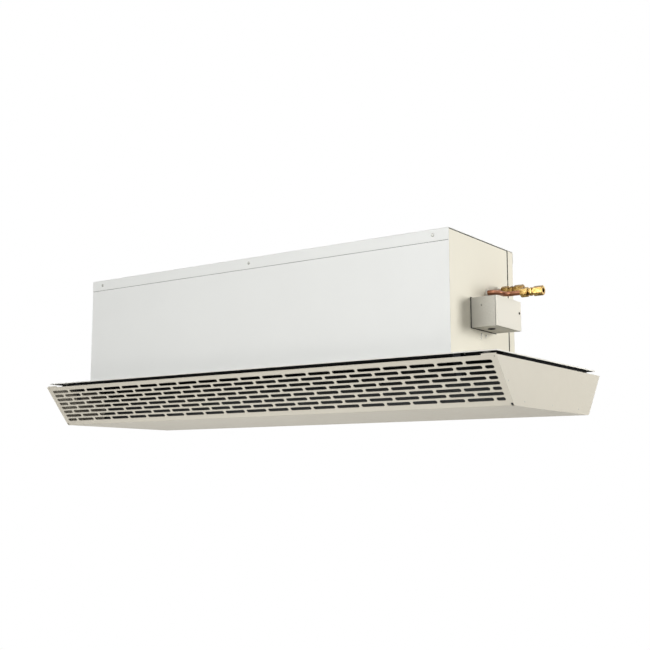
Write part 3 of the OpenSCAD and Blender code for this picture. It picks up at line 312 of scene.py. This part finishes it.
def dress_nodes():
    """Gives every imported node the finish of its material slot."""
    for part in frame["record"]["subparts"]:
        node = NODES[part["node"]]
        node.data.materials.clear()
        node.data.materials.append(FINISHES[part["material_slot"]])


dress_nodes()
cover_paint = powder_coat("cover_paint", linear(232, 228, 216), mottle=0.01)
dull_zinc = turned_metal("dull_zinc", linear(70, 68, 64), 0.5, stain=0.3)
NODES["terminal_box_cover"].data.materials[0] = cover_paint
NODES["terminal_cover_screw"].data.materials[0] = dull_zinc


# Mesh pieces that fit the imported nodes

WELD_DISTANCE = 0.002 * MM
SMOOTH_ANGLE = math.radians(35)
CORNER_STEPS = 3


def place_of(mount):
    """Position of a mount of the record."""
    return next(entry["pos_m"] for entry in frame["record"]["mounts"] if entry["name"] == mount)


def add_object(name, data):
    """A new object in the scene."""
    made = bpy.data.objects.new(name, data)
    bpy.context.scene.collection.objects.link(made)
    return made


def new_piece(name, shape, finish, body="casing", smooth=False):
    """Turns a bmesh into a piece with a finish that rides on a body."""
    mesh = bpy.data.meshes.new(name)
    bmesh.ops.remove_doubles(shape, verts=shape.verts, dist=WELD_DISTANCE)
    bmesh.ops.recalc_face_normals(shape, faces=shape.faces)
    shape.to_mesh(mesh)
    shape.free()
    piece = add_object(name, mesh)
    mesh.materials.append(FINISHES[finish])
    if smooth:
        for polygon in mesh.polygons:
            polygon.use_smooth = True
        mesh.set_sharp_from_angle(angle=SMOOTH_ANGLE)
    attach(piece, body)
    return piece


def sweep(shape, sections, closed_path=False):
    """Joins equal rings of points into a skin; an open path gets end caps."""
    rings = [[shape.verts.new(point) for point in section] for section in sections]
    count = len(rings[0])
    pairs = list(zip(rings, rings[1:])) + ([(rings[-1], rings[0])] if closed_path else [])
    for first, second in pairs:
        for i in range(count):
            j = (i + 1) % count
            shape.faces.new((first[i], first[j], second[j], second[i]))
    if not closed_path:
        shape.faces.new(list(reversed(rings[0])))
        shape.faces.new(rings[-1])


def rounded_profile(width, height, radius):
    """Closed outline of a rectangle with two round corners at the top, its base centred on the origin."""
    points = [(-width / 2, 0.0)]
    for centre, start in ((-width / 2 + radius, 180), (width / 2 - radius, 90)):
        for i in range(CORNER_STEPS + 1):
            angle = math.radians(start - 90 * i / CORNER_STEPS)
            points.append((centre + radius * math.cos(angle), height - radius + radius * math.sin(angle)))
    points.append((width / 2, 0.0))
    return points


def ring_strip(shape, low, high, level, out, profile):
    """A profile swept round a rectangle. Its base lies at level on the axis of out, and it stands along out.
    low and high are the rectangle's corners in the other two axes, at the profile's middle."""
    axis = max(range(3), key=lambda k: abs(out[k]))
    across, up = [k for k in range(3) if k != axis]
    corners = [(low[0], low[1]), (high[0], low[1]), (high[0], high[1]), (low[0], high[1])]
    diagonals = [(-1, -1), (1, -1), (1, 1), (-1, 1)]
    sections = []
    for (a, b), (da, db) in zip(corners, diagonals):
        section = []
        for side, height in profile:
            point = [0.0, 0.0, 0.0]
            point[axis] = level + out[axis] * height
            point[across] = a + da * side
            point[up] = b + db * side
            section.append(tuple(point))
        sections.append(section)
    sweep(shape, sections, closed_path=True)


# Seal under the pan, and dark strips and gaskets: painted shade in gaps, seams and joints

# Sizes of the foam seal under the pan, which also stands in as painted shade in the shadow gap.
PAN_SHADE_SEAL_WIDTH = 5 * MM
PAN_SHADE_SEAL_HEIGHT = 10.8 * MM
PAN_SHADE_SEAL_CORNER = 1.2 * MM
PAN_SHADE_SEAL_INSET = 7.5 * MM
PAN_SHADE_SEAL_Y = 202 * MM
PAN_SHADE_SEAL_SINK = 0.5 * MM


def make_pan_seal_and_gap_shade():
    """Black foam seal under the pan, just inside the tray's upper edges, which is also painted shade that
    darkens the shadow gap.
    """
    _, (pan_x, _, _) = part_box("ceiling_pan")
    (_, _, lining_z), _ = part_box("pan_lining")
    reach = (pan_x - PAN_SHADE_SEAL_INSET, PAN_SHADE_SEAL_Y)
    opposite = (-reach[0], -reach[1])
    profile = rounded_profile(PAN_SHADE_SEAL_WIDTH, PAN_SHADE_SEAL_HEIGHT, PAN_SHADE_SEAL_CORNER)
    shape = bmesh.new()
    ring_strip(shape, opposite, reach, lining_z + PAN_SHADE_SEAL_SINK, (0, 0, -1), profile)
    new_piece("pan_seal_and_gap_shade", shape, "black_foam")


SHEET = 1.2 * MM
# Sizes of the dark strips that are painted shade in the seam and the slit, and of the painted shadow line
# under the lips.
SHADE_STRIP_DEPTH = 6 * MM
SHADE_STRIP_RECESS = 0.2 * MM
SEAM_WIDTH = 3 * MM
SEAM_FOOT = 3 * MM
SEAM_CORNER = 0.5 * MM
SLIT_CORNER = 0.4 * MM
LIP_SHADE_LINE = 0.6 * MM
LIP_SHADE_LINE_CORNER = 0.1 * MM
LIP_SHADE_LINE_INSET = 1 * MM


def make_casing_shade_strips():
    """Dark strips as painted shade in the seam beside the rear panel's return and in the slit under the top
    cover, and a fine dark line as a painted shadow under the cover's front and rear lips."""
    (_, wall_front, _), (wall_x, seam_front, wall_top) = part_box("right_end_wall")
    (_, cover_front, lip_z), (_, cover_rear, cover_top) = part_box("top_cover")
    root = wall_x - SHADE_STRIP_RECESS - SHADE_STRIP_DEPTH
    seam_middle = seam_front + SEAM_WIDTH / 2
    slit_high = cover_top - SHEET
    slit_middle = (wall_top + slit_high) / 2
    shade_line_x = wall_x - LIP_SHADE_LINE_INSET
    shade_line_z = lip_z - LIP_SHADE_LINE / 2
    seam = rounded_profile(SEAM_WIDTH, SHADE_STRIP_DEPTH, SEAM_CORNER)
    slit = rounded_profile(slit_high - wall_top, SHADE_STRIP_DEPTH, SLIT_CORNER)
    shade_line = rounded_profile(LIP_SHADE_LINE, LIP_SHADE_LINE / 2, LIP_SHADE_LINE_CORNER)
    shape = bmesh.new()
    # Painted shade: dark strips in the seams and slits at both ends.
    for side in (-1, 1):
        sections = []
        for height in (SEAM_FOOT, wall_top):
            sections.append([(side * (root + out), seam_middle + across, height) for across, out in seam])
        sweep(shape, sections)
        sections = []
        for y in (wall_front, seam_front + SEAM_WIDTH):
            sections.append([(side * (root + out), y, slit_middle + across) for across, out in slit])
        sweep(shape, sections)
    # Painted shadow: a fine dark line under each lip.
    for lip_y, out in ((cover_front + SHEET, -1), (cover_rear - SHEET, 1)):
        sections = []
        for x in (-shade_line_x, shade_line_x):
            sections.append([(x, lip_y + out * rise, shade_line_z + across) for across, rise in shade_line])
        sweep(shape, sections)
    new_piece("casing_shade_strips", shape, "black_foam")


# Sizes of the dark strips that are painted shade at the foot of the terminal box and in the joint of its
# cover.
FOOT_SHADE_LINE_WIDTH = 2.6 * MM
FOOT_SHADE_LINE_HEIGHT = 1.5 * MM
FOOT_SHADE_LINE_CORNER = 0.6 * MM
JOINT_SHADE_LINE_WIDTH = 0.5 * MM
JOINT_SHADE_LINE_HEIGHT = 0.8 * MM
JOINT_SHADE_LINE_CORNER = 0.2 * MM


def make_box_shade_lines():
    """Thin dark strips as painted shade round the foot of the terminal box and in the joint of its cover."""
    (foot_x, y0, z0), (_, y1, z1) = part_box("terminal_box")
    (joint_x, _, _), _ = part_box("terminal_box_cover")
    foot = rounded_profile(FOOT_SHADE_LINE_WIDTH, FOOT_SHADE_LINE_HEIGHT, FOOT_SHADE_LINE_CORNER)
    joint = rounded_profile(JOINT_SHADE_LINE_WIDTH, JOINT_SHADE_LINE_HEIGHT, JOINT_SHADE_LINE_CORNER)
    shape = bmesh.new()
    for level, profile in ((foot_x, foot), (joint_x - JOINT_SHADE_LINE_HEIGHT, joint)):
        ring_strip(shape, (y0, z0), (y1, z1), level, (1, 0, 0), profile)
    new_piece("terminal_box_shade_lines", shape, "black_rubber")


# Coupling barrels, along X

BARREL_LENGTH = 40.5 * MM
BARREL_PAST_MOUNT = 4.5 * MM
BARREL_RADIUS = 6.6 * MM
BARREL_SEGMENTS = 40
NECK_RADIUS = 6.1 * MM
NECK_START = 11.5 * MM
NECK_END = 25 * MM
SOCKET_RADIUS = 5.05 * MM
INNER_SOCKET_DEPTH = 12 * MM
OUTER_SOCKET_DEPTH = 13 * MM
BORE_RADIUS = 4 * MM
THREAD_PITCH = 1.25 * MM
THREAD_DEPTH = 0.6 * THREAD_PITCH
CREST_START = 0.4 * THREAD_PITCH
CREST_END = 0.6 * THREAD_PITCH
HEXAGON_START = 15.3 * MM
HEXAGON_END = 21.3 * MM
HEXAGON_FLATS = 15.4 * MM
HEXAGON_BORE = 5.6 * MM
HEXAGON_DOME = 1 * MM
HEXAGON_SEGMENTS = 48


def round_point(x, radius, angle, centre):
    """Point at a radius and an angle round an axis along X through centre (y, z)."""
    return x, centre[0] + radius * math.cos(angle), centre[1] + radius * math.sin(angle)


def revolve(shape, outline, centre):
    """Turns a closed outline of (x, radius) points round an axis along X through centre (y, z)."""
    sections = []
    for i in range(BARREL_SEGMENTS):
        angle = 2 * math.pi * i / BARREL_SEGMENTS
        sections.append([round_point(x, radius, angle, centre) for x, radius in outline])
    sweep(shape, sections, closed_path=True)


def hexagon_ring(shape, x0, x1, centre):
    """Hexagon with domed ends and a round bore, along X."""
    corner = HEXAGON_FLATS / math.sqrt(3)
    shoulder = corner - 0.3 * HEXAGON_DOME
    rim = corner - HEXAGON_DOME
    outline = [(x0, rim), (x0 + 0.35 * HEXAGON_DOME, shoulder), (x0 + 0.8 * HEXAGON_DOME, corner)]
    outline += [(x1 - 0.8 * HEXAGON_DOME, corner), (x1 - 0.35 * HEXAGON_DOME, shoulder), (x1, rim)]
    outline += [(x1, HEXAGON_BORE), (x0, HEXAGON_BORE)]
    sections = []
    for x, limit in outline:
        section = []
        for i in range(HEXAGON_SEGMENTS):
            angle = 2 * math.pi * i / HEXAGON_SEGMENTS
            turn = (angle + math.pi / 6) % (math.pi / 3) - math.pi / 6
            radius = min(limit, HEXAGON_FLATS / 2 / math.cos(turn))
            section.append(round_point(x, radius, angle, centre))
        sections.append(section)
    sweep(shape, sections, closed_path=True)


def thread(x0, x1):
    """Outline of the threads between two places: a row of flat-topped ridges."""
    count = int((x1 - x0) / THREAD_PITCH)
    root = BARREL_RADIUS - THREAD_DEPTH
    points = [(x0, root)]
    for i in range(count):
        start = x0 + i * THREAD_PITCH
        points.append((start + CREST_START, BARREL_RADIUS))
        points.append((start + CREST_END, BARREL_RADIUS))
        points.append((start + THREAD_PITCH, root))
    return points


def barrel_outline(start):
    """Outline of one coupling barrel: thread, plain neck, thread, and a stepped bore."""
    end = start + BARREL_LENGTH
    neck_start = start + NECK_START
    neck_end = start + NECK_END
    inner_step = start + INNER_SOCKET_DEPTH
    outer_step = end - OUTER_SOCKET_DEPTH
    outline = [(start, SOCKET_RADIUS)] + thread(start, neck_start)
    outline += [(neck_start, NECK_RADIUS), (neck_end, NECK_RADIUS)] + thread(neck_end, end)
    outline += [(end, SOCKET_RADIUS), (outer_step, SOCKET_RADIUS), (outer_step, BORE_RADIUS)]
    outline += [(inner_step, BORE_RADIUS), (inner_step, SOCKET_RADIUS)]
    return outline


def make_coupling_barrels():
    """Threaded barrels of the two couplings with a narrow hexagon between their nuts."""
    shape = bmesh.new()
    for mount in ("rear_pipe_socket", "front_pipe_socket"):
        x, y, z = place_of(mount)
        start = x + BARREL_PAST_MOUNT - BARREL_LENGTH
        revolve(shape, barrel_outline(start), (y, z))
        hexagon_ring(shape, start + HEXAGON_START, start + HEXAGON_END, (y, z))
    piece = new_piece("coupling_barrels", shape, "brass", smooth=True)
    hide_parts("coupling_bodies")


# Coil fins

FIN_PITCH = 2.5 * MM
FIN_THICKNESS = 0.2 * MM
FIN_WIDTH = 139.7 * MM
FIN_HEIGHT = 44 * MM
FIN_TILT = math.radians(11)
FIN_WAVES = 16
FIN_WAVE_DEPTH = 0.45 * MM


def make_fins():
    """Close-packed corrugated fins of the coil."""
    (x0, y0, z0), (x1, y1, z1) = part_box("fin_pack")
    middle_y, middle_z = (y0 + y1) / 2, (z0 + z1) / 2
    margin = FIN_WAVE_DEPTH + FIN_THICKNESS
    count = int((x1 - x0 - 2 * margin) / FIN_PITCH)
    pitch = (x1 - x0 - 2 * margin) / count
    shape = bmesh.new()
    for i in range(count + 1):
        sections = []
        for k in range(FIN_WAVES + 1):
            along = (k / FIN_WAVES - 0.5) * FIN_WIDTH
            x = x0 + margin + i * pitch + (FIN_WAVE_DEPTH if k % 2 else -FIN_WAVE_DEPTH)
            section = []
            for side, rise in ((-0.5, -0.5), (0.5, -0.5), (0.5, 0.5), (-0.5, 0.5)):
                up = rise * FIN_HEIGHT
                y = middle_y + along * math.cos(FIN_TILT) - up * math.sin(FIN_TILT)
                z = middle_z + along * math.sin(FIN_TILT) + up * math.cos(FIN_TILT)
                section.append((x + side * FIN_THICKNESS, y, z))
            sections.append(section)
        sweep(shape, sections)
    piece = new_piece("coil_fins", shape, "fin_aluminium")
    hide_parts("fin_pack")


make_pan_seal_and_gap_shade()
make_casing_shade_strips()
make_box_shade_lines()
make_coupling_barrels()
make_fins()


# Stage and world

WORLD_LEVEL = 0.12
FLOOR_DROP = 1.0
FLOOR_RADIUS = 5.0
FLOOR_SEGMENTS = 96
FLOOR_FADE_START = 1.0
FLOOR_FADE_END = 3.0
FLOOR_GLOW = 0.55


def mix_shaders(tree, factor, first, second):
    """Mix of two shaders: the first at factor 0, the second at 1."""
    mix = tree.nodes.new("ShaderNodeMixShader")
    tree.links.new(factor, mix.inputs["Fac"])
    tree.links.new(first, mix.inputs[1])
    tree.links.new(second, mix.inputs[2])
    return mix.outputs[0]


def white_for_camera(tree, lit):
    """Plain white for camera, glossy and transmission rays, and the lit shader for all others."""
    path = tree.nodes.new("ShaderNodeLightPath")
    seen = path.outputs["Is Camera Ray"]
    for ray in ("Is Glossy Ray", "Is Transmission Ray"):
        either = tree.nodes.new("ShaderNodeMath")
        either.operation = "MAXIMUM"
        tree.links.new(seen, either.inputs[0])
        tree.links.new(path.outputs[ray], either.inputs[1])
        seen = either.outputs[0]
    plain = tree.nodes.new("ShaderNodeBackground")
    plain.inputs["Color"].default_value = (1, 1, 1, 1)
    plain.inputs["Strength"].default_value = 1.0
    return mix_shaders(tree, seen, lit, plain.outputs[0])


def make_world(level):
    """An even, faintly warm light from all sides that looks plain white to the camera."""
    world = bpy.data.worlds.new("studio")
    bpy.context.scene.world = world
    world.use_nodes = True
    tree = world.node_tree
    tree.nodes.clear()
    light = tree.nodes.new("ShaderNodeBackground")
    light.inputs["Color"].default_value = (1.0, 0.995, 0.985, 1)
    light.inputs["Strength"].default_value = level
    output = tree.nodes.new("ShaderNodeOutputWorld")
    tree.links.new(white_for_camera(tree, light.outputs[0]), output.inputs["Surface"])


def floor_fade(tree):
    """0 below the unit and 1 further out, with a soft step between."""
    place = tree.nodes.new("ShaderNodeTexCoord")
    distance = tree.nodes.new("ShaderNodeVectorMath")
    distance.operation = "LENGTH"
    tree.links.new(place.outputs["Object"], distance.inputs[0])
    fade = tree.nodes.new("ShaderNodeMapRange")
    fade.interpolation_type = "SMOOTHSTEP"
    fade.inputs["From Min"].default_value = FLOOR_FADE_START
    fade.inputs["From Max"].default_value = FLOOR_FADE_END
    tree.links.new(distance.outputs["Value"], fade.inputs["Value"])
    return fade.outputs["Result"]


def floor_paint():
    """Pale diffuse floor that turns into the white backdrop further out, and is clear seen from below."""
    material = bpy.data.materials.new("floor_paint")
    material.use_nodes = True
    tree = material.node_tree
    tree.nodes.clear()
    paint = tree.nodes.new("ShaderNodeBsdfDiffuse")
    paint.inputs["Color"].default_value = linear(226, 226, 225)
    glow = tree.nodes.new("ShaderNodeEmission")
    glow.inputs["Strength"].default_value = FLOOR_GLOW
    near = tree.nodes.new("ShaderNodeAddShader")
    tree.links.new(paint.outputs[0], near.inputs[0])
    tree.links.new(glow.outputs[0], near.inputs[1])
    far = tree.nodes.new("ShaderNodeEmission")
    far.inputs["Strength"].default_value = 1.0
    clear = tree.nodes.new("ShaderNodeBsdfTransparent")
    path = tree.nodes.new("ShaderNodeLightPath")
    side = tree.nodes.new("ShaderNodeNewGeometry")
    seen = mix_shaders(tree, floor_fade(tree), near.outputs[0], far.outputs[0])
    upper = mix_shaders(tree, path.outputs["Is Camera Ray"], paint.outputs[0], seen)
    sided = mix_shaders(tree, side.outputs["Backfacing"], upper, clear.outputs[0])
    output = tree.nodes.new("ShaderNodeOutputMaterial")
    tree.links.new(sided, output.inputs["Surface"])
    return material


def make_floor():
    """A pale round floor below the unit that keeps its shadow."""
    mesh = bpy.data.meshes.new("floor")
    shape = bmesh.new()
    bmesh.ops.create_circle(shape, cap_ends=True, segments=FLOOR_SEGMENTS, radius=FLOOR_RADIUS)
    for face in shape.faces:
        if face.normal.z < 0:
            face.normal_flip()
    shape.to_mesh(mesh)
    shape.free()
    floor = add_object("floor", mesh)
    floor.location = (0, 0, cad_low[2] - FLOOR_DROP)
    mesh.materials.append(floor_paint())
    floor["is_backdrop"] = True


make_world(WORLD_LEVEL)
make_floor()


# Lamps

def area_light(name, place, aim, size, power, colour=(1, 1, 1)):
    """A rectangular lamp at place that points at aim and doesn't show to the camera."""
    lamp = bpy.data.lights.new(name, "AREA")
    lamp.shape = "RECTANGLE"
    lamp.size, lamp.size_y = size
    lamp.energy = power
    lamp.color = colour
    made = add_object(name, lamp)
    made.location = place
    direction = Vector(aim) - Vector(place)
    made.rotation_euler = direction.to_track_quat("-Z", "Y").to_euler()
    made.visible_camera = False


area_light("key from the right rear", place=(2.6, 1.5, 0.45), aim=(0.5, -0.1, 0.1), size=(0.9, 0.9),
           power=45.5, colour=(1.0, 0.985, 0.94))
area_light("front right, near", place=(1.3, -1.7, 0.9), aim=(0.3, -0.2, 0.1), size=(0.8, 0.8), power=6.5)
area_light("front", place=(0.0, -3.0, 0.8), aim=(0.0, -0.2, 0.1), size=(2.0, 1.0), power=43.5)
area_light("below", place=(-0.2, -0.3, -0.95), aim=(-0.1, -0.1, -0.1), size=(1.6, 1.2), power=5.2)
area_light("below, right", place=(1.35, -0.9, -0.95), aim=(0.5, -0.1, -0.1), size=(1.0, 1.0), power=2.5)
area_light("rear", place=(-0.2, 3.0, 0.7), aim=(-0.1, 0.1, 0.1), size=(2.0, 1.0), power=13)
area_light("left", place=(-2.9, 0.7, 0.7), aim=(-0.5, 0.1, 0.1), size=(1.0, 1.0), power=17)
area_light("top", place=(-0.2, 0.25, 2.7), aim=(-0.1, 0.05, 0.2), size=(1.6, 1.0), power=9)


# Camera

CAMERA_PLACE = (1.4548, -1.96675, -0.2354)
CAMERA_AZIMUTH = math.radians(35.39)
CAMERA_TILT = math.radians(90 + 8.37)
CAMERA_SENSOR = 36.0
CAMERA_LENS = 58.08


def make_camera():
    """The photograph's view: from the front right, a little below the unit, looking slightly up."""
    camera = bpy.data.cameras.new("camera")
    camera.sensor_width = CAMERA_SENSOR
    camera.lens = CAMERA_LENS
    made = add_object("camera", camera)
    made.location = CAMERA_PLACE
    turn = Matrix.Rotation(CAMERA_AZIMUTH, 4, "Z") @ Matrix.Rotation(CAMERA_TILT, 4, "X")
    made.rotation_euler = turn.to_euler()
    bpy.context.scene.camera = made


make_camera()


# View

bpy.context.scene.view_settings.view_transform = "Standard"
